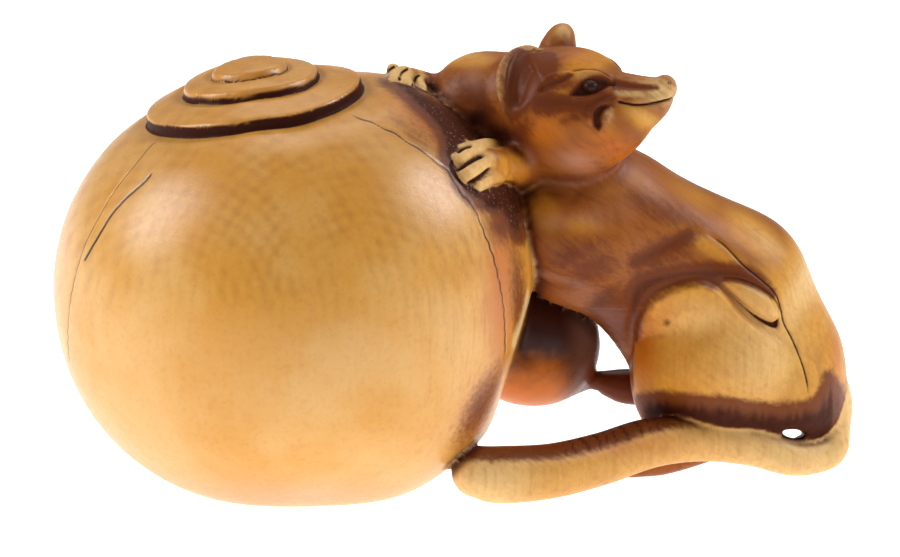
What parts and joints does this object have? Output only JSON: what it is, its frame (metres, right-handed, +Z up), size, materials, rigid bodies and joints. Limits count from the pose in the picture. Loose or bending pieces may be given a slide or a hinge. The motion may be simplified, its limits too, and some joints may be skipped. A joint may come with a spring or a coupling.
{
  "type": "netsuke",
  "caption": "Small carved toggle: a slim fox leans its forepaws on a big round gourd with stepped rings and turns its head back.",
  "frame": {"origin": "middle of the small flat under the gourd, at the level that the piece stands on", "axes": "+Z up, +X along the piece from the gourd to the fox's rump, -Y towards the side that is looked at"},
  "size_m": [0.048, 0.029, 0.0285],
  "materials": {
    "ivory": "honey-stained ivory, polished, brown in the recesses",
    "eye": "polished dark horn"
  },
  "bodies": {
    "root": {"fox_on_gourd": "ivory", "right_eye": "eye", "left_eye": "eye"}
  },
  "joints": []
}
